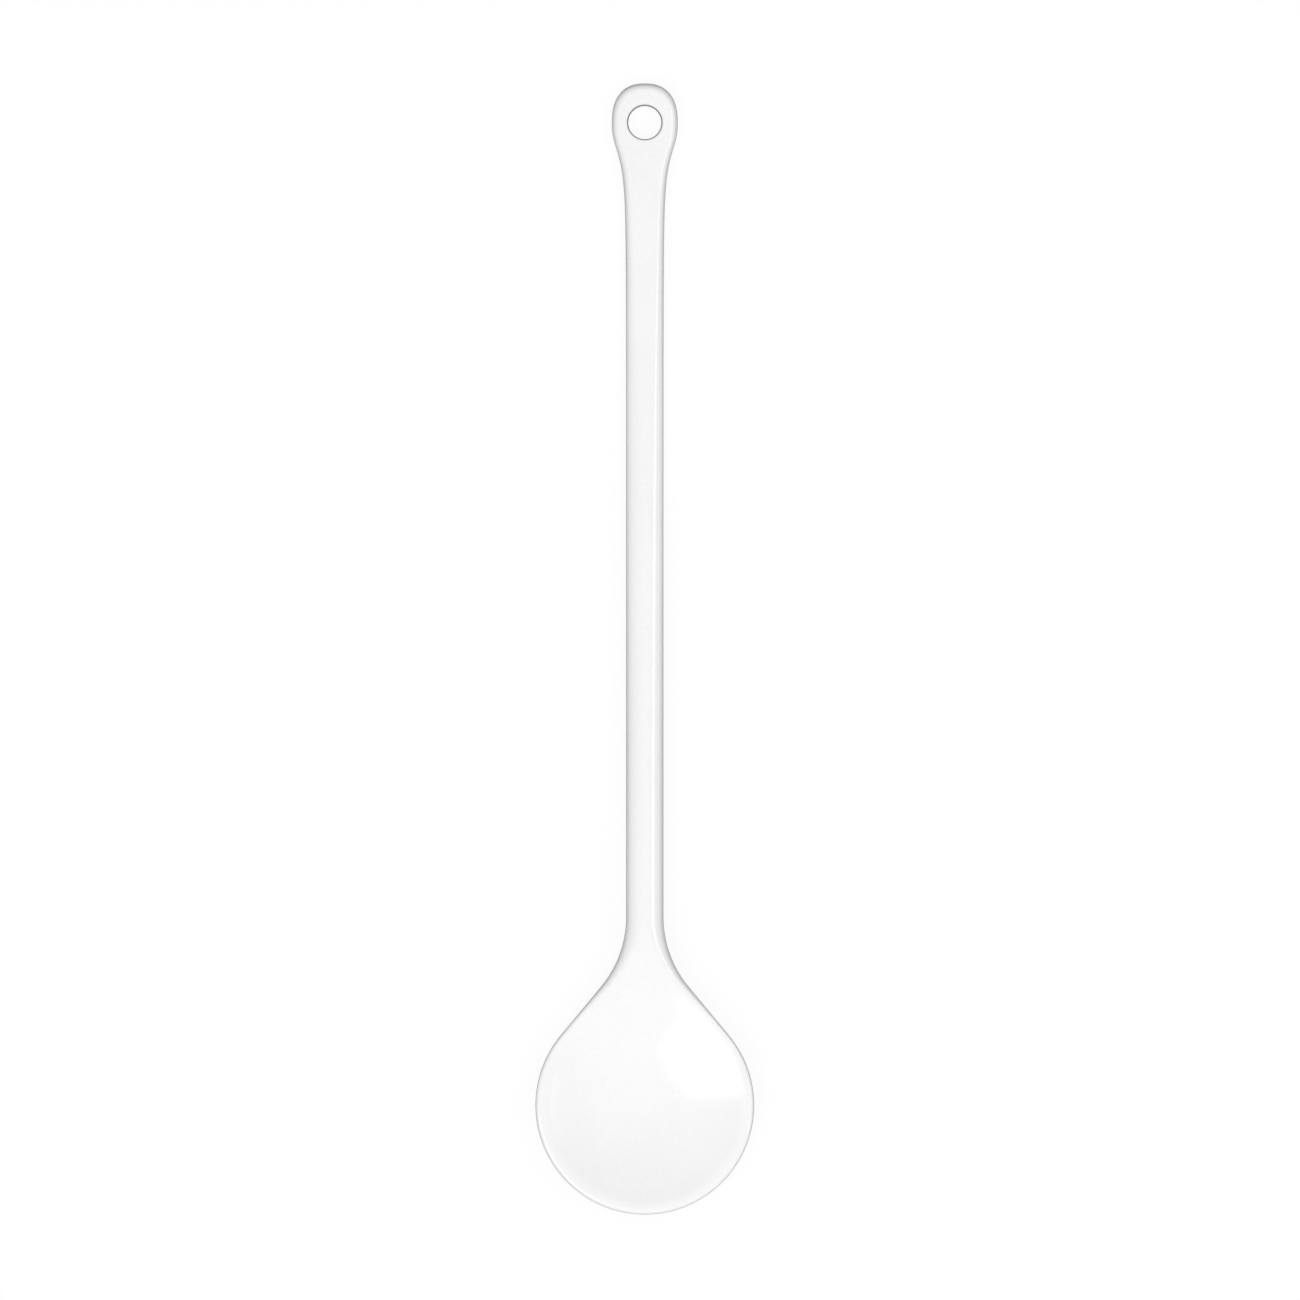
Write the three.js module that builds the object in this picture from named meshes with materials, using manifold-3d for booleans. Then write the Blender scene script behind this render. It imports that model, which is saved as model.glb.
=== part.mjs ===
// Cooking spoon, moulded in one piece: a round shallow bowl, a slender oval handle and a flat hanging eye.
// Millimetres. The spoon lies on its back: +Z is up, +Y runs along the handle towards the eye.
// The origin is on the table, under the middle of the length.
import * as THREE from "three";
import { LoftGeometry } from "three/addons/geometries/LoftGeometry.js";
import { mergeVertices } from "three/addons/utils/BufferGeometryUtils.js";
import Module from "manifold-3d";

const { degToRad, lerp, smoothstep } = THREE.MathUtils;

// Outline, as seen from above
const LENGTH = 300;
const BOWL_RADIUS = 29;
const FLANK_ANGLE = 39.7; // degrees between the handle and the straight shoulder of the bowl
const NECK_FILLET = 29; // radius of the hollow curve from the handle into the shoulder
const HANDLE_WIDTH = 9.9;
const EYE_WIDTH = 17.5;
const EYE_CENTRE = 10.4; // from the end of the eye to the middle of its hole
const EYE_SQUARENESS = 2.4; // exponent of the end's superellipse: 2 is an ellipse, more is squarer
const EYE_SWELL = 9.4; // distance from the hole at which the eye is half way down to the handle's width
const EYE_SWELL_POWER = 2.6; // how briskly the eye gives way to the handle

// Hanging hole
const HOLE_DIAMETER = 8.8; // at its waist, half way through the eye
const HOLE_DRAFT = 6; // degrees by which the wall leans out from the waist, so that the mould's pins come out
const HOLE_ROUND = 0.4; // radius on both rims of the hole

// Thickness and edges
const EYE_THICKNESS = 4.5;
const EYE_FLAT = 24; // length of the flat faces, from the end of the eye
const EYE_ROUND = 2.1; // width of the rounding along the edge of the eye
const OVAL_FROM = 110; // distance from the end of the eye where the handle has become a full oval
const NECK_THICKNESS = 7.2;
const RIM_THICKNESS = 2.2;
const RIM_ROUND = 1.2; // width of the rounding outside the rim's crest
const LIP_ROLL = 2.6; // width over which the rim rolls into the bowl
const LARGEST_LIP_SHARE = 0.5; // of the hollow's half width, where the neck is too narrow for the whole roll

// Bowl
const BOWL_DEPTH = 4.5; // from the rim's crest to the bottom of the hollow
const BOWL_WALL = 2.8; // at the bottom of the bowl
const HOLLOW_LEAD = 3; // the hollow starts this far above the straight shoulder
const HOLLOW_ROLL = 0.3; // share of the hollow's upper half over which the handle tips into it
const BELLY_LEAD = 12; // the round back starts this far above the straight shoulder
const BELLY_ROLL = 0.5; // share of the belly's upper half over which the back leaves the handle

// Fineness of the loft
const EYE_FAN_STEPS = 10;
const BOWL_FAN_STEPS = 18;
const FRONT_STEPS = 13;
const BACK_STEPS = 10;
const RIM_STEPS = 4; // of those steps, on the rounding of the bowl's rim
const LARGEST_EDGE_SHARE = 0.75; // of a half section, for the fine steps of its edge
const PLUG_OVERSHOOT = 1; // how far the hole's plug stands out of both faces
const HOLE_SEGMENTS = 40;
const HOLE_ROUND_STEPS = 3;
const WELD_DISTANCE = 1e-4;

// Where the stretches of the outline meet. These places are distances from the end of the eye.
const handleHalf = HANDLE_WIDTH / 2;
const flankLean = degToRad(FLANK_ANGLE);
const bowlCentre = LENGTH - BOWL_RADIUS;
const flankEnd = bowlCentre - BOWL_RADIUS * Math.sin(flankLean);
const flankEndHalf = BOWL_RADIUS * Math.cos(flankLean);
const flankStartHalf = handleHalf + NECK_FILLET * (1 - Math.cos(flankLean));
const flankStart = flankEnd - (flankEndHalf - flankStartHalf) / Math.tan(flankLean);
const neckStart = flankStart - NECK_FILLET * Math.sin(flankLean);
const hollowStart = flankStart - HOLLOW_LEAD;
const bellyStart = flankStart - BELLY_LEAD;

// The parting line is level round the bowl and sinks along the handle until the eye lies on the table.
const rimMiddle = BOWL_WALL + BOWL_DEPTH - RIM_THICKNESS / 2;
// The wall is as thick as it should be at the bottom of the bowl when the back drops by this much.
const bellyDepth = BOWL_DEPTH + BOWL_WALL - RIM_THICKNESS;

// Half the width of the spoon, along the straight handle, the neck, the shoulder and the bowl.
function halfWidth(along) {
  if (along > flankEnd) {
    return Math.sqrt(BOWL_RADIUS ** 2 - (along - bowlCentre) ** 2);
  }
  if (along > flankStart) {
    return flankStartHalf + (along - flankStart) * Math.tan(flankLean);
  }
  if (along > neckStart) {
    return handleHalf + NECK_FILLET - Math.sqrt(NECK_FILLET ** 2 - (along - neckStart) ** 2);
  }
  const fromEye = (along - EYE_CENTRE) / EYE_SWELL;
  return handleHalf + (EYE_WIDTH / 2 - handleHalf) / (1 + fromEye ** EYE_SWELL_POWER);
}

// A dished curve from 0 at its edge to 1 in the middle: it rolls over the edge, then follows a parabola.
function dish(share, roll) {
  if (share <= 0) {
    return 0;
  }
  return share < roll ? share ** 2 / roll : 1 - (1 - share) ** 2 / (1 - roll);
}

// A quarter of an ellipse from 0 at the parting line to 1 where the rounding ends.
function crown(share) {
  return share < 1 ? Math.sqrt(1 - (1 - share) ** 2) : 1;
}

// The sizes that the sections take at one place of the spine.
function sizesAt(along) {
  const neck = smoothstep(along, neckStart, flankEnd);
  const oval = smoothstep(along, EYE_FLAT, OVAL_FROM);
  const thicken = smoothstep(along, EYE_FLAT, neckStart);
  const rise = smoothstep(along, EYE_FLAT, flankEnd);
  const handleThickness = lerp(EYE_THICKNESS, NECK_THICKNESS, thicken);
  return {
    neck,
    middle: lerp(EYE_THICKNESS / 2, rimMiddle, rise),
    half: lerp(handleThickness, RIM_THICKNESS, neck) / 2,
    round: lerp(lerp(EYE_ROUND, handleHalf, oval), RIM_ROUND, neck),
    hollow: BOWL_DEPTH * dish((along - hollowStart) / (bowlCentre - hollowStart), HOLLOW_ROLL),
    belly: bellyDepth * dish((along - bellyStart) / (bowlCentre - bellyStart), BELLY_ROLL),
  };
}

// Distances from the edge to the points of one face, with a given number of them on the rounding.
function spread(reach, round, steps, edgeSteps) {
  const edge = Math.min(round, LARGEST_EDGE_SHARE * reach);
  const distances = [];
  for (let i = 1; i <= edgeSteps; i++) {
    distances.push(edge * (1 - Math.cos((Math.PI / 2) * (i / edgeSteps))));
  }
  for (let i = 1; i <= steps - edgeSteps; i++) {
    distances.push(lerp(edge, reach, (i / (steps - edgeSteps)) ** 2));
  }
  return distances;
}

// The handle has nearly all its points on the rounding, the bowl most of them inside the rim.
function insets(reach, round, steps, neck) {
  const onHandle = spread(reach, round, steps, steps - 1);
  const onBowl = spread(reach, round, steps, RIM_STEPS);
  return onHandle.map((distance, i) => lerp(distance, onBowl[i], neck));
}

// A half section from the spine, along the back to the edge, and over the front to the spine again.
function halfSection(spine, edgeX, edgeAlong) {
  const { neck, middle, half, round, hollow, belly } = sizesAt(spine);
  const reach = Math.hypot(edgeX, edgeAlong - spine);
  const inner = reach - round;
  const point = (inset, height) => {
    const along = lerp(edgeAlong, spine, inset / reach);
    return new THREE.Vector3(edgeX * (1 - inset / reach), LENGTH / 2 - along, middle + height);
  };
  const lip = Math.min(LIP_ROLL / inner, LARGEST_LIP_SHARE);
  const frontHeight = (inset) => {
    const sunk = hollow > 0 ? hollow * dish((inset - round) / inner, lip) : 0;
    return half * crown(inset / round) - sunk;
  };
  const backHeight = (inset) => -half * crown(inset / round) - belly * dish(inset / reach, 0);
  const back = insets(reach, round, BACK_STEPS, neck).map((inset) => point(inset, backHeight(inset)));
  const front = insets(reach, round, FRONT_STEPS, neck).map((inset) => point(inset, frontHeight(inset)));
  return [...back.reverse(), point(0, 0), ...front];
}

// Half sections down the right side: a fan round the eye, straight across the handle, a fan round the bowl.
function rightSections() {
  const sections = [];
  for (let i = 0; i < EYE_FAN_STEPS; i++) {
    const turn = (Math.PI / 2) * (i / EYE_FAN_STEPS);
    const x = (EYE_WIDTH / 2) * Math.sin(turn) ** (2 / EYE_SQUARENESS);
    const along = EYE_CENTRE * (1 - Math.cos(turn) ** (2 / EYE_SQUARENESS));
    sections.push(halfSection(EYE_CENTRE, x, along));
  }
  const stretches = [
    [EYE_CENTRE, EYE_FLAT, 7],
    [EYE_FLAT, 2 * EYE_FLAT, 6],
    [2 * EYE_FLAT, neckStart, 12],
    [neckStart, flankStart, 9],
    [flankStart, flankEnd, 6],
    [flankEnd, bowlCentre, 8],
  ];
  for (const [from, to, steps] of stretches) {
    for (let i = 0; i < steps; i++) {
      const along = lerp(from, to, i / steps);
      sections.push(halfSection(along, halfWidth(along), along));
    }
  }
  for (let i = 0; i <= BOWL_FAN_STEPS; i++) {
    const turn = (Math.PI / 2) * (i / BOWL_FAN_STEPS);
    const x = i < BOWL_FAN_STEPS ? BOWL_RADIUS * Math.cos(turn) : 0;
    sections.push(halfSection(bowlCentre, x, bowlCentre + BOWL_RADIUS * Math.sin(turn)));
  }
  return sections;
}

// The closed skin of the spoon: the right side's sections, then their mirror images back to the eye.
function spoonSkin() {
  const right = rightSections();
  const mirrored = (section) => section.map((p) => new THREE.Vector3(-p.x, p.y, p.z));
  const left = right.slice(0, -1).reverse().map(mirrored);
  return new LoftGeometry([...right, ...left], { closed: false });
}

// A turned plug with the shape of the hole: a waist, a wall that leans out to both faces, and rounded rims.
function holePlug() {
  const draft = degToRad(HOLE_DRAFT);
  const waist = HOLE_DIAMETER / 2;
  const wallHalf = EYE_THICKNESS / 2 - HOLE_ROUND * (1 - Math.sin(draft));
  const flare = waist + wallHalf * Math.tan(draft) + HOLE_ROUND * Math.cos(draft);
  const lower = [];
  const upper = [];
  for (let i = 0; i <= HOLE_ROUND_STEPS; i++) {
    const turn = (Math.PI / 2 - draft) * (i / HOLE_ROUND_STEPS);
    const r = flare - HOLE_ROUND * Math.sin(turn);
    const depth = HOLE_ROUND * (1 - Math.cos(turn));
    lower.push(new THREE.Vector2(r, depth));
    upper.unshift(new THREE.Vector2(r, EYE_THICKNESS - depth));
  }
  const profile = [
    new THREE.Vector2(0, -PLUG_OVERSHOOT),
    new THREE.Vector2(flare, -PLUG_OVERSHOOT),
    ...lower,
    new THREE.Vector2(waist, EYE_THICKNESS / 2),
    ...upper,
    new THREE.Vector2(flare, EYE_THICKNESS + PLUG_OVERSHOOT),
    new THREE.Vector2(0, EYE_THICKNESS + PLUG_OVERSHOOT),
  ];
  const plug = new THREE.LatheGeometry(profile, HOLE_SEGMENTS);
  plug.rotateX(Math.PI / 2);
  plug.translate(0, LENGTH / 2 - EYE_CENTRE, 0);
  return plug;
}

const wasm = await Module();
wasm.setup();

// A closed geometry as a solid: coincident points are joined, and faces that shrink to a line are left out.
function solidFrom(geometry) {
  const skin = new THREE.BufferGeometry();
  skin.setAttribute("position", geometry.getAttribute("position"));
  skin.setIndex(geometry.index);
  const welded = mergeVertices(skin, WELD_DISTANCE);
  const corners = [];
  for (let i = 0; i < welded.index.count; i += 3) {
    const [a, b, c] = [0, 1, 2].map((k) => welded.index.getX(i + k));
    if (a !== b && b !== c && c !== a) {
      corners.push(a, b, c);
    }
  }
  return new wasm.Manifold(
    new wasm.Mesh({
      numProp: 3,
      vertProperties: welded.getAttribute("position").array,
      triVerts: new Uint32Array(corners),
    }),
  );
}

// A solid back as a geometry that a mesh can hold.
function geometryFrom(solid) {
  const { vertProperties, triVerts } = solid.getMesh();
  const geometry = new THREE.BufferGeometry();
  geometry.setAttribute("position", new THREE.BufferAttribute(vertProperties, 3));
  geometry.setIndex(new THREE.BufferAttribute(triVerts, 1));
  geometry.computeVertexNormals();
  return geometry;
}

const melamine = new THREE.MeshStandardMaterial({ color: 0xf3f3f1, roughness: 0.16, metalness: 0 });

const spoon = new THREE.Mesh(geometryFrom(solidFrom(spoonSkin()).subtract(solidFrom(holePlug()))), melamine);
spoon.name = "spoon";

const cookingSpoon = new THREE.Group();
cookingSpoon.add(spoon);

export default cookingSpoon;
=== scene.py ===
# %% [markdown]
# # A moulded cooking spoon
#
# This lesson dresses a cooking spoon that is moulded in one piece: a round shallow bowl, a slender
# handle and a flat eye with a hole to hang it by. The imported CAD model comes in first, as a fixed frame.
# It gives the place and the size of everything that follows, in metres, with +Z up and the handle along
# +Y.

# %% Load the frame
import math

import bmesh
import bpy
import numpy as np
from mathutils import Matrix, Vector


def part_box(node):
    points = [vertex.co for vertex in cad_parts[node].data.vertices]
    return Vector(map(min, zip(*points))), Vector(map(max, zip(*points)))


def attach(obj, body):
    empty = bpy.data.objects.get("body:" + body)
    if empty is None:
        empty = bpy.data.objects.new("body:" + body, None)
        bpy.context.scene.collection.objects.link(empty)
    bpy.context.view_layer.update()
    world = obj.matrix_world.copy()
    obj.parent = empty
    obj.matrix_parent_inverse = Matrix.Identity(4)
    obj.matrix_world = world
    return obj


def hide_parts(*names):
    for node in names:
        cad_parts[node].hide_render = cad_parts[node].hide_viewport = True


MM = 0.001
CM = 10 * MM

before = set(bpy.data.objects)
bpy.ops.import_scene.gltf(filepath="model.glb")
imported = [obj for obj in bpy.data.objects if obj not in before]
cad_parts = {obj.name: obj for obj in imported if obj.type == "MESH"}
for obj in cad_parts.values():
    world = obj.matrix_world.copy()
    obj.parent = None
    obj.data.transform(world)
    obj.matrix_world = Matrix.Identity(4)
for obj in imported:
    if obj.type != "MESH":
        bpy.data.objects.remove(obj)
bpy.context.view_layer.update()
low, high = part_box("spoon")
print("CAD box in mm:", [round(size / MM, 2) for size in high - low])

# %% [markdown]
# ## The driving sizes
#
# The length and the width of the bowl are read from the frame. The other sizes are the mould maker's:
# they repeat the CAD model's own values, so that the fine surface made here lies in the same place as
# the solid that it stands for. They could also be measured on the solid's mesh, but a value with a name
# can be read and changed. A real spoon leaves the mould with soft edges everywhere, so most of these
# sizes say how one form rounds into the next.

# %% Sizes of the outline
LENGTH = high.y - low.y
BOWL_RADIUS = (high.x - low.x) / 2
FLANK_LEAN = math.radians(39.7)  # between the handle and the straight shoulder of the bowl
NECK_FILLET = 29 * MM  # radius of the curve from the handle into the shoulder
HANDLE_HALF = 4.95 * MM
EYE_HALF = 8.75 * MM
EYE_CENTRE = 10.4 * MM  # from the end of the eye to the middle of its hole
EYE_SQUARENESS = 2.4  # of the end of the eye, where 2 would be a plain ellipse
EYE_SWELL = 9.4 * MM  # from the middle of the hole to where half of the eye's extra width is left
EYE_SWELL_POWER = 2.6
HOLE_RADIUS = 4.4 * MM  # at the waist, half way through the eye
HOLE_ROUND = 0.4 * MM
HOLE_DRAFT = math.radians(6)  # the lean of the wall, so that the spoon comes off the mould

print(f"{LENGTH / MM:.0f} mm long, with a bowl {2 * BOWL_RADIUS / MM:.0f} mm wide")

# %% Sizes of the sections
EYE_THICKNESS = 4.5 * MM
EYE_FLAT = 24 * MM  # from the end of the eye to where it stops being flat
EYE_ROUND = 2.1 * MM  # width of the rounding along its edge
OVAL_FROM = 110 * MM  # from the end of the eye to where the handle is a full oval
NECK_THICKNESS = 7.2 * MM
RIM_THICKNESS = 2.2 * MM
RIM_ROUND = 1.2 * MM
LIP_ROLL = 2.6 * MM  # width of the lip that rolls over into the hollow
LARGEST_LIP_SHARE = 0.5  # of the hollow's half width, where it is narrow

BOWL_DEPTH = 4.5 * MM
BOWL_WALL = 2.8 * MM  # at the bottom of the bowl
HOLLOW_LEAD = 3 * MM  # the hollow starts this far before the shoulder
HOLLOW_ROLL = 0.3  # of the hollow's length from the neck to the middle of the bowl
BELLY_LEAD = 12 * MM  # the belly starts this far before the shoulder
BELLY_ROLL = 0.5

print(f"the rim of the bowl stands {(BOWL_WALL + BOWL_DEPTH) / MM:.1f} mm above the table")

# %% Places along the spoon
# Each is a distance from the end of the eye.
BOWL_CENTRE = LENGTH - BOWL_RADIUS
FLANK_END = BOWL_CENTRE - BOWL_RADIUS * math.sin(FLANK_LEAN)
FLANK_END_HALF = BOWL_RADIUS * math.cos(FLANK_LEAN)
FLANK_START_HALF = HANDLE_HALF + NECK_FILLET * (1 - math.cos(FLANK_LEAN))
FLANK_START = FLANK_END - (FLANK_END_HALF - FLANK_START_HALF) / math.tan(FLANK_LEAN)
NECK_START = FLANK_START - NECK_FILLET * math.sin(FLANK_LEAN)
HOLLOW_START = FLANK_START - HOLLOW_LEAD
BELLY_START = FLANK_START - BELLY_LEAD
RIM_MIDDLE = BOWL_WALL + BOWL_DEPTH - RIM_THICKNESS / 2
BELLY_DEPTH = BOWL_DEPTH + BOWL_WALL - RIM_THICKNESS

for name, place in [("neck", NECK_START), ("shoulder", FLANK_START), ("round of the bowl", FLANK_END)]:
    print(f"the {name} starts {place / MM:.1f} mm from the end of the eye")

# %% [markdown]
# ## The curves of the form
#
# Three small curves make the whole spoon. The outline gives half the width at any place. The crown is
# the quarter ellipse of a rounded edge. The dish is the curve of the hollow: it rolls over the lip and
# then follows a parabola. A subdivided box could be pushed into a spoon by eye, but formulas keep the
# bowl truly round, and a glossy white surface shows every dent.

# %% Outline


def blend(a, b, share):
    """The value that lies a given share of the way from a to b."""
    return a + (b - a) * share


def smooth_step(value, start, end):
    """0 before start, 1 after end, and a soft S between them."""
    share = min(max((value - start) / (end - start), 0), 1)
    return share * share * (3 - 2 * share)


def half_width(along):
    """Half the width of the spoon, from the middle of the eye to the tip of the bowl."""
    if along > FLANK_END:
        return math.sqrt(BOWL_RADIUS**2 - (along - BOWL_CENTRE) ** 2)
    if along > FLANK_START:
        return FLANK_START_HALF + (along - FLANK_START) * math.tan(FLANK_LEAN)
    if along > NECK_START:
        return HANDLE_HALF + NECK_FILLET - math.sqrt(NECK_FILLET**2 - (along - NECK_START) ** 2)
    from_eye = (along - EYE_CENTRE) / EYE_SWELL
    return HANDLE_HALF + (EYE_HALF - HANDLE_HALF) / (1 + from_eye**EYE_SWELL_POWER)


print(f"half way along, the handle is {2 * half_width(LENGTH / 2) / MM:.2f} mm wide")

# %% Crown, dish and the sizes of a section
SMALLEST_ROLL = 1e-9  # stands for no roll at all, without a division by zero


def crown(share):
    """A quarter of an ellipse, from 0 at the parting line to 1 where the rounding ends."""
    return np.sqrt(1 - (1 - np.minimum(share, 1)) ** 2)


def dish(share, roll):
    """A dished curve, from 0 at its edge to 1 in the middle."""
    share = np.maximum(share, 0)
    inner = 1 - (1 - share) ** 2 / (1 - roll)
    return np.where(share < roll, share**2 / max(roll, SMALLEST_ROLL), inner)


def sizes_at(spine):
    """The sizes that a section takes at one place of the spine."""
    neck = smooth_step(spine, NECK_START, FLANK_END)
    oval = smooth_step(spine, EYE_FLAT, OVAL_FROM)
    rise = smooth_step(spine, EYE_FLAT, FLANK_END)
    thick = blend(EYE_THICKNESS, NECK_THICKNESS, smooth_step(spine, EYE_FLAT, NECK_START))
    return {
        "neck": neck,
        "middle": blend(EYE_THICKNESS / 2, RIM_MIDDLE, rise),
        "half": blend(thick, RIM_THICKNESS, neck) / 2,
        "round": blend(blend(EYE_ROUND, HANDLE_HALF, oval), RIM_ROUND, neck),
        "hollow": BOWL_DEPTH * dish((spine - HOLLOW_START) / (BOWL_CENTRE - HOLLOW_START), HOLLOW_ROLL),
        "belly": BELLY_DEPTH * dish((spine - BELLY_START) / (BOWL_CENTRE - BELLY_START), BELLY_ROLL),
    }


print(f"half way along, the handle is {2 * sizes_at(LENGTH / 2)['half'] / MM:.2f} mm thick")

# %% [markdown]
# ## One skin of quads
#
# The skin is a row of half sections. Each runs from the spine along the back to the edge, and over the
# front to the spine again. They fan round the eye, cross the handle one by one and fan round the bowl.
# In the eye they start at the hole instead of the spine, so that the hole is part of the mesh. A boolean
# cut would also make a hole, but it leaves long thin triangles in a flat face. Most points lie on the
# rounded edges, where the light changes fastest. Each point also carries its trim and shade: how much of
# the moulded skin is cut away there, which makes the finish a touch rougher, and how much painted shade
# greys it, a part of it along the parting line and all of it on the wall of the hole, to darken the
# hole and the outline.

# %% Points of one half section
FRONT_STEPS = 32
BACK_STEPS = 24
INNER_STEPS = 5  # of those steps, inside the rounding of the eye and the handle
RIM_STEPS = 9  # of those steps, on the rounding of the bowl's rim
LARGEST_EDGE_SHARE = 0.75  # of a half section, for the steps of its rounding
TRIM_AND_SHADE_WIDTH = 0.5 * MM  # on each side of the parting line, for the trim and its painted shade
PARTING_TRIM_AND_SHADE = 0.4  # of a full cut and of the full painted shade, along the parting line


def spread(reach, round_width, steps, edge_steps):
    """Distances from the edge, with a given number of them on the rounding."""
    edge = min(round_width, LARGEST_EDGE_SHARE * reach)
    on_edge = edge * (1 - np.cos(np.linspace(0, math.pi / 2, edge_steps + 1)[1:]))
    inside = np.linspace(0, 1, steps - edge_steps + 1)[1:] ** 2
    return np.concatenate([on_edge, blend(edge, reach, inside)])


def half_section(spine, inner, edge):
    """Rows of x, y, z and trim with painted shade, from the back's inner end, round the edge, to the
    front's inner end.
    """
    at = sizes_at(spine)
    inner, edge = np.array(inner), np.array(edge)
    reach = np.linalg.norm(edge - inner)
    inside = reach - at["round"]
    lip = min(LIP_ROLL / inside, LARGEST_LIP_SHARE)

    def face(steps, height):
        handle_insets = spread(reach, at["round"], steps, steps - INNER_STEPS)
        insets = blend(handle_insets, spread(reach, at["round"], steps, RIM_STEPS), at["neck"])
        plan = edge + (inner - edge) * (insets / reach)[:, None]
        rise = height(insets)
        # Beside the parting line the trim fades out, and with it the painted shade that darkens the
        # outline.
        trim_and_shade = PARTING_TRIM_AND_SHADE * np.maximum(1 - np.hypot(insets, rise) / TRIM_AND_SHADE_WIDTH, 0)
        return np.column_stack([plan[:, 0], high.y - plan[:, 1], at["middle"] + rise, trim_and_shade])

    def front_height(inset):
        hollow = at["hollow"] * dish((inset - at["round"]) / inside, lip)
        return at["half"] * crown(inset / at["round"]) - hollow

    def back_height(inset):
        belly = at["belly"] * dish(inset / reach, 0)
        return -at["half"] * crown(inset / at["round"]) - belly

    parting_point = [[edge[0], high.y - edge[1], at["middle"], PARTING_TRIM_AND_SHADE]]
    return np.vstack([face(BACK_STEPS, back_height)[::-1], parting_point, face(FRONT_STEPS, front_height)])


half_way = LENGTH / 2
print("points of a half section:", len(half_section(half_way, (0, half_way), (HANDLE_HALF, half_way))))

# %% Half sections round the hole
EYE_FAN_STEPS = 20
HOLE_LOWER_STEPS = 16
BELOW_HOLE_STEPS = 8
SLANT_END = 20 * MM  # where the section that starts under the hole meets the edge

WALL_HALF = EYE_THICKNESS / 2 - HOLE_ROUND * (1 - math.sin(HOLE_DRAFT))
FLARE_RADIUS = HOLE_RADIUS + WALL_HALF * math.tan(HOLE_DRAFT) + HOLE_ROUND * math.cos(HOLE_DRAFT)


def on_hole(turn, radius=FLARE_RADIUS):
    """A point of the hole's circle, turned from the end of the eye towards the handle."""
    return radius * math.sin(turn), EYE_CENTRE - radius * math.cos(turn)


def eye_sections():
    """The half sections of the eye's right side, and the turns at which they start on the hole."""
    sections, turns = [], []
    for i in range(EYE_FAN_STEPS):
        turn = math.pi / 2 * i / EYE_FAN_STEPS
        x = EYE_HALF * math.sin(turn) ** (2 / EYE_SQUARENESS)
        along = EYE_CENTRE * (1 - math.cos(turn) ** (2 / EYE_SQUARENESS))
        turns.append(math.atan2(x, EYE_CENTRE - along))
        sections.append(half_section(EYE_CENTRE, on_hole(turns[-1]), (x, along)))
    for i in range(HOLE_LOWER_STEPS):
        along = blend(EYE_CENTRE, SLANT_END, i / HOLE_LOWER_STEPS)
        turns.append(math.pi / 2 * (1 + i / HOLE_LOWER_STEPS))
        sections.append(half_section(EYE_CENTRE, on_hole(turns[-1]), (half_width(along), along)))
    turns.append(math.pi)
    under_hole = on_hole(math.pi)[1]
    for i in range(BELOW_HOLE_STEPS):
        along = blend(SLANT_END, EYE_FLAT, i / BELOW_HOLE_STEPS)
        spine = blend(under_hole, EYE_FLAT, i / BELOW_HOLE_STEPS)
        sections.append(half_section(EYE_CENTRE, (0, spine), (half_width(along), along)))
    return sections, turns


eye, hole_turns = eye_sections()
print("half sections round the hole:", len(eye))

# %% Half sections of the handle, the neck and the bowl
BOWL_FAN_STEPS = 40
STRETCHES = [  # from, to, sections
    (EYE_FLAT, 2 * EYE_FLAT, 14),
    (2 * EYE_FLAT, NECK_START, 60),
    (NECK_START, FLANK_START, 20),
    (FLANK_START, FLANK_END, 14),
    (FLANK_END, BOWL_CENTRE, 18),
]


def straight_sections():
    """The half sections that lie straight across the spoon."""
    sections = []
    for start, end, steps in STRETCHES:
        for along in np.linspace(start, end, steps, endpoint=False):
            sections.append(half_section(along, (0, along), (half_width(along), along)))
    return sections


def bowl_sections():
    """The half sections that fan round the lower half of the bowl."""
    sections = []
    for turn in np.linspace(0, math.pi / 2, BOWL_FAN_STEPS + 1):
        edge = (BOWL_RADIUS * math.cos(turn), BOWL_CENTRE + BOWL_RADIUS * math.sin(turn))
        sections.append(half_section(BOWL_CENTRE, (0, BOWL_CENTRE), edge))
    return sections


right_side = np.array(eye + straight_sections() + bowl_sections())
print("half sections in all:", right_side.shape[0])

# %% Wall of the hole
HOLE_ROUND_STEPS = 6
WALL_STEPS = 4


def hole_wall(turns):
    """The right half of the hole's wall: rounded at both faces, and leaning in to a waist between them."""
    bend = np.linspace(0, math.pi / 2 - HOLE_DRAFT, HOLE_ROUND_STEPS + 1)
    lean = np.linspace(1, 0, WALL_STEPS + 1)[1:]
    wall_radius = HOLE_RADIUS + lean * WALL_HALF * math.tan(HOLE_DRAFT)
    radius = np.concatenate([FLARE_RADIUS - HOLE_ROUND * np.sin(bend), wall_radius])
    depth = np.concatenate([HOLE_ROUND * (1 - np.cos(bend)), EYE_THICKNESS / 2 - lean * WALL_HALF])
    radii = np.concatenate([radius, radius[-2::-1]])
    heights = np.concatenate([depth, EYE_THICKNESS - depth[-2::-1]])
    # The wall of the hole is fully trimmed and greyed with painted shade, growing over the rounding as it
    # turns in.
    trim_and_shade = np.concatenate([np.sin(bend), np.ones(WALL_STEPS)])
    trims_and_shade = np.concatenate([trim_and_shade, trim_and_shade[-2::-1]])
    rows = []
    for turn in turns:
        plan = np.array([on_hole(turn, r) for r in radii])
        rows.append(np.column_stack([plan[:, 0], high.y - plan[:, 1], heights, trims_and_shade]))
    return rows


print("points down the wall of the hole:", len(hole_wall(hole_turns)[0]))

# %% Join the skin
WELD = 0.0001 * MM


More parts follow.
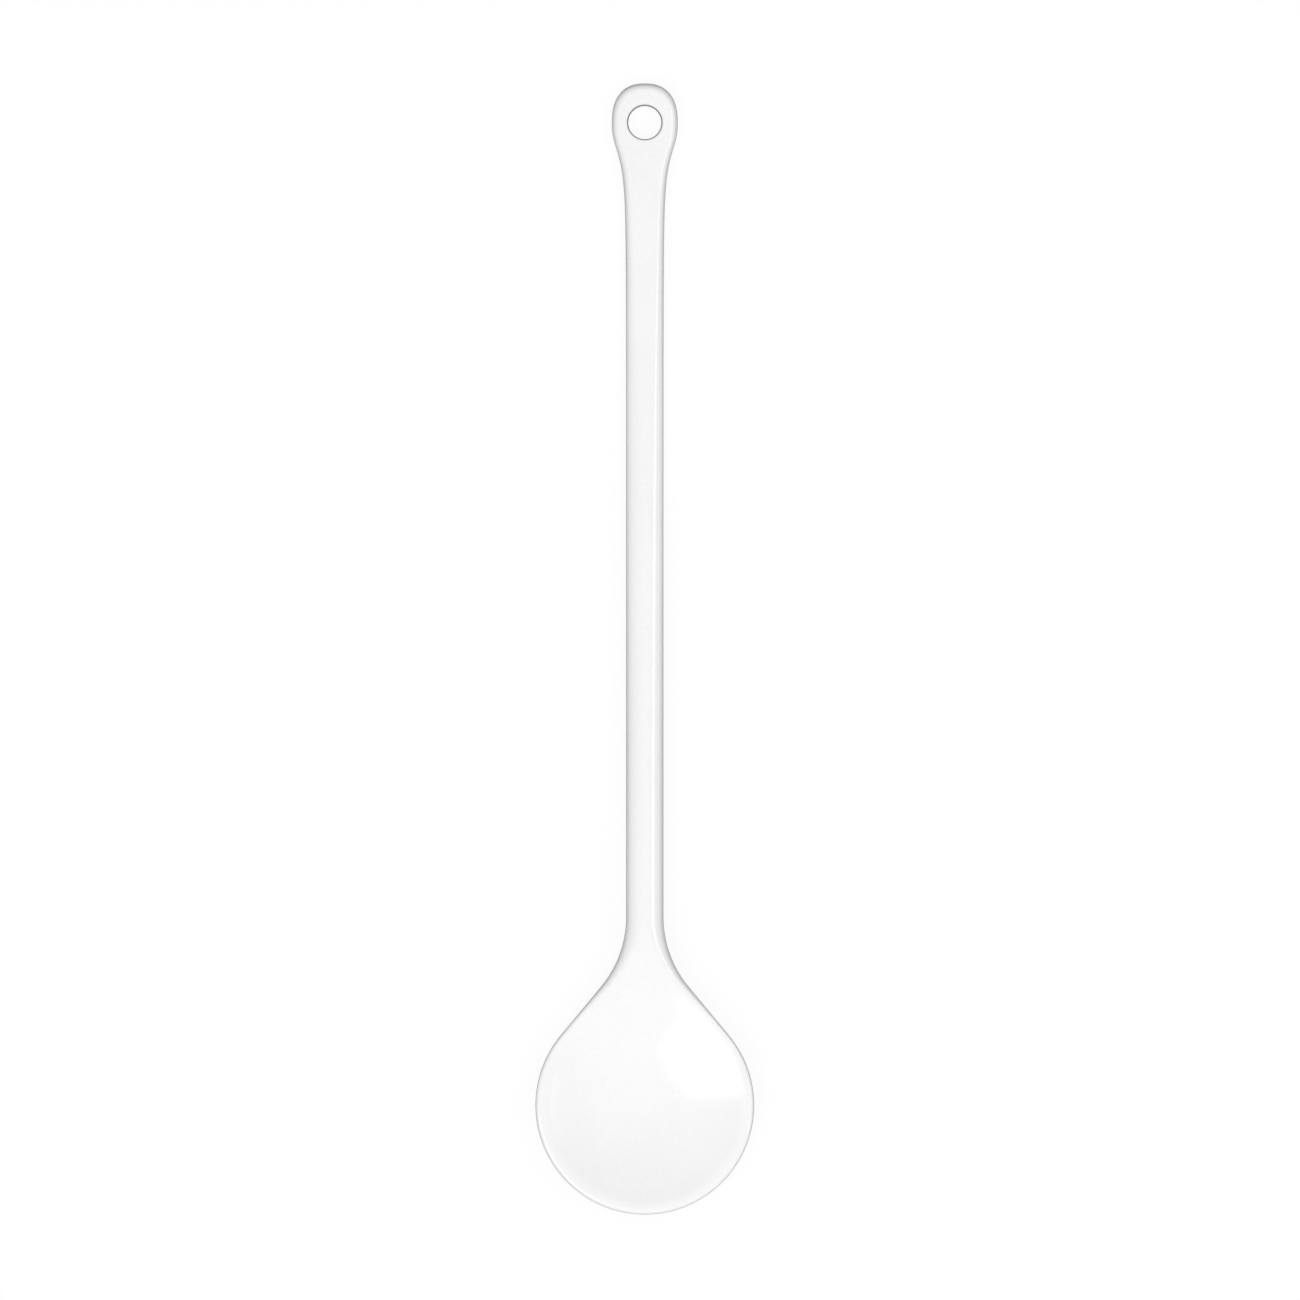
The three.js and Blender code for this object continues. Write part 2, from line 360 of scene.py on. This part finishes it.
def add_grid(skin, trims_and_shade, rows):
    """Adds a grid of points and its mirror image as quads, with the trim and painted shade at each point.
    """
    for side in (1, -1):
        grid = []
        for row in rows:
            line = []
            for x, y, z, trim_and_shade in row:
                point = skin.verts.new((side * x, y, z))
                point[trims_and_shade] = trim_and_shade
                line.append(point)
            grid.append(line)
        for a, b in zip(grid, grid[1:]):
            for i in range(len(a) - 1):
                skin.faces.new((a[i], a[i + 1], b[i + 1], b[i]))


def moulded_spoon():
    """The spoon as one closed smooth mesh."""
    skin = bmesh.new()
    trims_and_shade = skin.verts.layers.float.new("trim_and_shade")
    add_grid(skin, trims_and_shade, right_side)
    add_grid(skin, trims_and_shade, hole_wall(hole_turns))
    bmesh.ops.remove_doubles(skin, verts=skin.verts, dist=WELD)
    bmesh.ops.recalc_face_normals(skin, faces=skin.faces)
    for face in skin.faces:
        face.smooth = True
    open_edges = sum(not edge.is_manifold for edge in skin.edges)
    print(f"{len(skin.faces)} faces, {skin.calc_volume() / CM**3:.2f} cm3, {open_edges} open edges")
    mesh = bpy.data.meshes.new("moulded_spoon")
    skin.to_mesh(mesh)
    skin.free()
    piece = bpy.data.objects.new("moulded_spoon", mesh)
    bpy.context.scene.collection.objects.link(piece)
    return piece


spoon = moulded_spoon()
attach(spoon, "root")
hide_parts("spoon")

# %% [markdown]
# ## Moulded melamine
#
# Melamine is a hard resin, pressed hot as a powder in a polished steel mould. It gives the eye a bright,
# slightly milky white with a tight gloss, like glazed china but a little softer. The powder leaves a
# very fine grain and faint clouds where it flowed, and the mould's polish leaves an orange peel a
# millimetre or two across. Where the flash is trimmed off, along the parting line and in the hole, the
# bright skin is gone and the resin is a touch duller; there a painted shade also greys it, to darken the
# hole and the outline. A flat white with one roughness would look like paper, so four noises vary the
# colour, the gloss and the surface, with their sizes in millimetres.

# %% Material helpers


def linear(hex_colour):
    """An sRGB hex colour as linear red, green, blue and alpha."""
    channels = [int(hex_colour[i : i + 2], 16) / 255 for i in (1, 3, 5)]
    return [c / 12.92 if c <= 0.04045 else ((c + 0.055) / 1.055) ** 2.4 for c in channels] + [1]


def add(tree, kind, links=None, values=None, **settings):
    """Adds a node with its settings, the values of its sockets and the links into it."""
    node = tree.nodes.new("ShaderNode" + kind)
    for name, setting in settings.items():
        setattr(node, name, setting)
    for socket, value in (values or {}).items():
        node.inputs[socket].default_value = value
    for socket, source in (links or {}).items():
        tree.links.new(source, node.inputs[socket])
    return node


def new_tree(owner):
    """The empty node tree of a new material or world."""
    owner.use_nodes = True
    owner.node_tree.nodes.clear()
    return owner.node_tree


print("pure white in linear light:", linear("#FFFFFF")[:3])

# %% Melamine
RESIN_WHITE = "#F7F7F7"
RESIN_SHADE = "#F2F2F2"  # where the powder packed a little less densely
CLOUD_SIZE = 18 * MM
GRAIN_SIZE = 0.6 * MM  # the real powder is ten times finer, drawn coarser so that it shows
CLOUD_SHARE = 0.4  # of the colour's variation, the rest is grain
SHADE_UNTIL, WHITE_FROM = 0.3, 0.6  # of the density, and a slow change between them
GLOSS_SIZE = 7 * MM
PEEL_SIZE = 1.6 * MM
PEEL_HEIGHT = 0.002 * MM
MELAMINE_IOR = 1.6
POLISHED, DULLED = 0.11, 0.17  # roughness where the mould is freshly polished, and where it is worn
PAINTED_SHADE_GREY = "#BCBCBC"  # painted shade, greying the hole's wall and the parting line where the bright skin is cut away
TRIMMED_ROUGHNESS = 0.05  # more than the surface beside it


def moulded_melamine():
    """White melamine as it leaves a polished mould."""
    material = bpy.data.materials.new("moulded_melamine")
    tree = new_tree(material)
    place = add(tree, "TexCoord").outputs["Object"]
    clouds = add(tree, "TexNoise", {"Vector": place}, {"Scale": 1 / CLOUD_SIZE, "Detail": 2}).outputs["Fac"]
    grain = add(tree, "TexNoise", {"Vector": place}, {"Scale": 1 / GRAIN_SIZE, "Detail": 1}).outputs["Fac"]
    density = add(tree, "Mix", {"A": grain, "B": clouds}, {"Factor": CLOUD_SHARE}).outputs["Result"]
    resin = add(tree, "ValToRGB", {"Fac": density})
    shade, white = resin.color_ramp.elements
    shade.position, shade.color = SHADE_UNTIL, linear(RESIN_SHADE)
    white.position, white.color = WHITE_FROM, linear(RESIN_WHITE)

    polish = add(tree, "TexNoise", {"Vector": place}, {"Scale": 1 / GLOSS_SIZE, "Detail": 2}).outputs["Fac"]
    wear = {"To Min": POLISHED, "To Max": DULLED}
    gloss = add(tree, "MapRange", {"Value": polish}, wear).outputs["Result"]
    # The trim makes the surface rougher, and mixes in a grey that is painted shade for the hole and the
    # outline.
    trim_and_shade = add(tree, "Attribute", attribute_name="trim_and_shade").outputs["Fac"]
    roughness = add(tree, "Math", {0: trim_and_shade, 2: gloss}, {1: TRIMMED_ROUGHNESS}, operation="MULTIPLY_ADD")
    moulded = {0: trim_and_shade, 6: resin.outputs["Color"]}  # the factor and the first colour of a colour mix
    colour = add(tree, "Mix", moulded, {7: linear(PAINTED_SHADE_GREY)}, data_type="RGBA").outputs[2]

    peel = add(tree, "TexNoise", {"Vector": place}, {"Scale": 1 / PEEL_SIZE, "Detail": 0}).outputs["Fac"]
    bump = add(tree, "Bump", {"Height": peel}, {"Distance": PEEL_HEIGHT}).outputs["Normal"]
    surface = add(
        tree,
        "BsdfPrincipled",
        {"Base Color": colour, "Roughness": roughness.outputs["Value"], "Normal": bump},
        {"IOR": MELAMINE_IOR},
    )
    add(tree, "OutputMaterial", {"Surface": surface.outputs["BSDF"]})
    return material


spoon.data.materials.append(moulded_melamine())
print("finish of the spoon:", spoon.data.materials[0].name)

# %% [markdown]
# ## A white paper floor
#
# The spoon lies on white paper that fills the picture. Light bright enough to burn plain paper out to
# white would burn out the white spoon too. So the paper glows for the rays that are seen, and keeps a
# share of plain paper round the spoon, which takes its soft shadow. Photographers draw the edges of a
# white object with dark cards beside it, just outside the picture. Here the paper does the work of the
# cards: beside the spoon it is grey in the gloss, and for the light that it throws back. Under the bowl
# it stays white, so that the belly keeps its tone when it is seen from the side.

# %% Rays that are seen
SEEN_RAYS = ["Is Camera Ray", "Is Glossy Ray", "Is Transmission Ray"]


def seen_rays(tree):
    """1 for rays that show the background, and 0 for those that only gather light."""
    path = add(tree, "LightPath").outputs
    seen = path[SEEN_RAYS[0]]
    for kind in SEEN_RAYS[1:]:
        seen = add(tree, "Math", {0: seen, 1: path[kind]}, operation="MAXIMUM").outputs["Value"]
    return seen


print("kinds of rays that show the background:", len(SEEN_RAYS))

# %% Paper
PAPER_WHITE = "#FFFFFF"
GLOSS_GREY = "#747474"  # beside the spoon, where its gloss shows the paper
BOUNCE_GREY = "#8C8C8C"  # beside the spoon, for the light that the paper throws back
PAPER_SIZE = 8.0
SHADOW_SHARE = 0.08  # of plain paper round the spoon, as the camera sees it
SHADOW_REACH = (0.22, 0.55)  # between these distances the shadow and the grey in the gloss fade out
UNDER_BOWL = (24 * MM, 34 * MM)  # between these distances from the bowl's middle, white turns into grey

bowl_middle = Vector((0, high.y - BOWL_CENTRE, 0))


def white_paper():
    """Paper that is white where it is seen, takes a shadow and leaves the edges of the spoon dark."""
    material = bpy.data.materials.new("white_paper")
    material.cycles.emission_sampling = "NONE"
    tree = new_tree(material)
    place = add(tree, "TexCoord").outputs["Object"]
    distance = add(tree, "VectorMath", {0: place}, operation="LENGTH").outputs["Value"]
    fade = {"From Min": SHADOW_REACH[0], "From Max": SHADOW_REACH[1], "To Min": 1, "To Max": 0}
    near = add(tree, "MapRange", {"Value": distance}, fade).outputs["Result"]
    shadow = add(tree, "Math", {0: near}, {1: SHADOW_SHARE}, operation="MULTIPLY").outputs["Value"]
    from_bowl = add(tree, "VectorMath", {0: place}, {1: bowl_middle}, operation="DISTANCE").outputs["Value"]
    rim = {"From Min": UNDER_BOWL[0], "From Max": UNDER_BOWL[1]}
    outside = add(tree, "MapRange", {"Value": from_bowl}, rim).outputs["Result"]
    is_glossy = add(tree, "LightPath").outputs["Is Glossy Ray"]

    glow = add(tree, "Emission", values={"Color": linear(PAPER_WHITE)}).outputs[0]
    white, gloss_grey, bounce_grey = [
        add(tree, "BsdfDiffuse", values={"Color": linear(colour)}).outputs[0]
        for colour in (PAPER_WHITE, GLOSS_GREY, BOUNCE_GREY)
    ]
    # Socket 0 of a mix is the share of the shader in socket 2, and the rest is the one in socket 1.
    in_gloss = add(tree, "MixShader", {0: outside, 1: white, 2: gloss_grey}).outputs[0]
    thrown_back = add(tree, "MixShader", {0: outside, 1: white, 2: bounce_grey}).outputs[0]
    for_camera = add(tree, "MixShader", {0: shadow, 1: glow, 2: white}).outputs[0]
    for_gloss = add(tree, "MixShader", {0: near, 1: glow, 2: in_gloss}).outputs[0]
    shown = add(tree, "MixShader", {0: is_glossy, 1: for_camera, 2: for_gloss}).outputs[0]
    surface = add(tree, "MixShader", {0: seen_rays(tree), 1: thrown_back, 2: shown}).outputs[0]
    add(tree, "OutputMaterial", {"Surface": surface})
    return material


bpy.ops.mesh.primitive_plane_add(size=PAPER_SIZE, location=(0, 0, low.z))
floor = bpy.context.object
floor.name = "paper_floor"
floor.data.materials.append(white_paper())
print(f"paper: {PAPER_SIZE:.0f} m square at height {low.z / MM:.2f} mm")

# %% [markdown]
# ## Soft studio light
#
# A white object on white paper is drawn by its shading alone. The room gives a soft light that is
# brighter overhead than at the horizon, with one bright wall beyond the bowl's end of the spoon. An
# upright panel at the lower left of the picture leaves the bright patch in the far wall of the bowl, and
# a strip on the right draws the line along the handle. Nothing shines from the upper left, so the edges
# there are the darkest. One big lamp overhead would be simpler, but then a white spoon shows no form.
# Together the lights give a level face a plain level of light, at which a colour renders about as it is
# written.

# %% Room
ROOM_WHITE = "#FFFFFF"
ROOM_HORIZON = 0.03  # radiance
ROOM_ZENITH = 1.2
WALL_SIDE = Vector((0.45, -0.89, 0))  # towards the bright wall
WALL_LIGHT = 0.42  # radiance that the wall adds


def white_room():
    """A white room where it is seen, and a soft light from overhead on the spoon."""
    world = bpy.data.worlds.new("white_room")
    tree = new_tree(world)
    place = add(tree, "TexCoord").outputs["Generated"]
    height = add(tree, "SeparateXYZ", {"Vector": place}).outputs["Z"]
    overhead = add(tree, "Math", {0: height, 1: height}, operation="MULTIPLY").outputs["Value"]
    strength = add(tree, "MapRange", {"Value": overhead}, {"To Min": ROOM_HORIZON, "To Max": ROOM_ZENITH})
    facing = add(tree, "VectorMath", {0: place}, {1: WALL_SIDE}, operation="DOT_PRODUCT").outputs["Value"]
    wall = add(tree, "Math", {0: facing}, {1: 0}, operation="MAXIMUM").outputs["Value"]
    both = add(
        tree, "Math", {0: wall, 2: strength.outputs["Result"]}, {1: WALL_LIGHT}, operation="MULTIPLY_ADD"
    )
    light = add(tree, "Background", {"Strength": both.outputs["Value"]}, {"Color": linear(ROOM_WHITE)})
    shown = add(tree, "Background", values={"Color": linear(ROOM_WHITE), "Strength": 1})
    surface = add(tree, "MixShader", {0: seen_rays(tree), 1: light.outputs[0], 2: shown.outputs[0]})
    add(tree, "OutputWorld", {"Surface": surface.outputs[0]})
    return world


scene = bpy.context.scene
scene.world = white_room()
level_light = (ROOM_HORIZON + ROOM_ZENITH) / 2 + WALL_LIGHT * 2 / (3 * math.pi)
print(f"light of the room on a level face: {level_light:.2f}, where 1 shows a colour as it is written")

# %% Softboxes
WATTS_PER_RADIANCE = 4  # for each square metre of an area lamp
PANEL_AWAY = 0.66  # from the middle of the bowl, along the paper
PANEL_HEIGHT = 1.43  # of its middle
STRIP_AWAY = 1.1  # from the handle


def towards(azimuth, polar):
    """The direction with an azimuth and an angle off the vertical, both in degrees."""
    turn, lean = math.radians(azimuth), math.radians(polar)
    return Vector((math.sin(lean) * math.cos(turn), math.sin(lean) * math.sin(turn), math.cos(lean)))


def softbox(name, place, outward, width, depth, radiance, lean=0):
    """A rectangular lamp with its back to the outward direction, leaning sideways by some degrees."""
    lamp = bpy.data.lights.new(name, "AREA")
    lamp.shape = "RECTANGLE"
    lamp.size, lamp.size_y = width, depth
    lamp.energy = WATTS_PER_RADIANCE * radiance * width * depth
    box = bpy.data.objects.new(name, lamp)
    box.location = place
    box.rotation_euler = outward.to_track_quat("Z", "Y").to_euler()
    box.rotation_euler.rotate_axis("Z", math.radians(lean))
    box.visible_camera = False
    scene.collection.objects.link(box)
    print(f"{name}: {lamp.energy:.1f} W, {width / CM:.0f} by {depth / CM:.0f} cm")


panel_back = towards(azimuth=220, polar=90)
panel_place = bowl_middle + PANEL_AWAY * panel_back + Vector((0, 0, PANEL_HEIGHT))
softbox("upright_panel", panel_place, panel_back, width=0.7, depth=1.65, radiance=2.4, lean=-4.5)

third_way = Vector((0, high.y - LENGTH / 3, 0))
strip_back = towards(azimuth=0, polar=39)
strip_place = third_way + STRIP_AWAY * strip_back
softbox("handle_strip", strip_place, strip_back, width=0.9, depth=0.2, radiance=2.2)

# %% [markdown]
# ## The camera
#
# The photograph looks straight down, with the handle up the picture, and the ring that it shows in the
# hole is even all round. So the camera stands high, and looks nearly straight down on all of the spoon.
# Two rows of the picture fix the lens and the camera's place: the row of the end of the eye and the row
# of the tip of the bowl. Solving for both is quicker and more exact than moving the camera by eye.

# %% Camera
PHOTO_SIZE = 1300  # pixels, and the rows and the column count from the top left
EYE_END_ROW = 83.5
BOWL_TIP_ROW = 1214.6
AXIS_COLUMN = 644.8  # of the spoon's middle line
CAMERA_HEIGHT = 3.0

up_eye = PHOTO_SIZE / 2 - EYE_END_ROW
up_tip = PHOTO_SIZE / 2 - BOWL_TIP_ROW
to_eye = CAMERA_HEIGHT - EYE_THICKNESS / 2
to_tip = CAMERA_HEIGHT - RIM_MIDDLE
focal_pixels = (up_eye * to_eye - up_tip * to_tip) / LENGTH
camera = bpy.data.objects.new("camera", bpy.data.cameras.new("camera"))
camera.data.lens = focal_pixels * camera.data.sensor_width / PHOTO_SIZE
camera.location = (
    (PHOTO_SIZE / 2 - AXIS_COLUMN) * CAMERA_HEIGHT / focal_pixels,
    high.y - up_eye * to_eye / focal_pixels,
    CAMERA_HEIGHT,
)
scene.collection.objects.link(camera)
scene.camera = camera
scene.view_settings.view_transform = "Standard"
print(f"camera: {camera.data.lens:.1f} mm lens at", [round(c, 4) for c in camera.location])
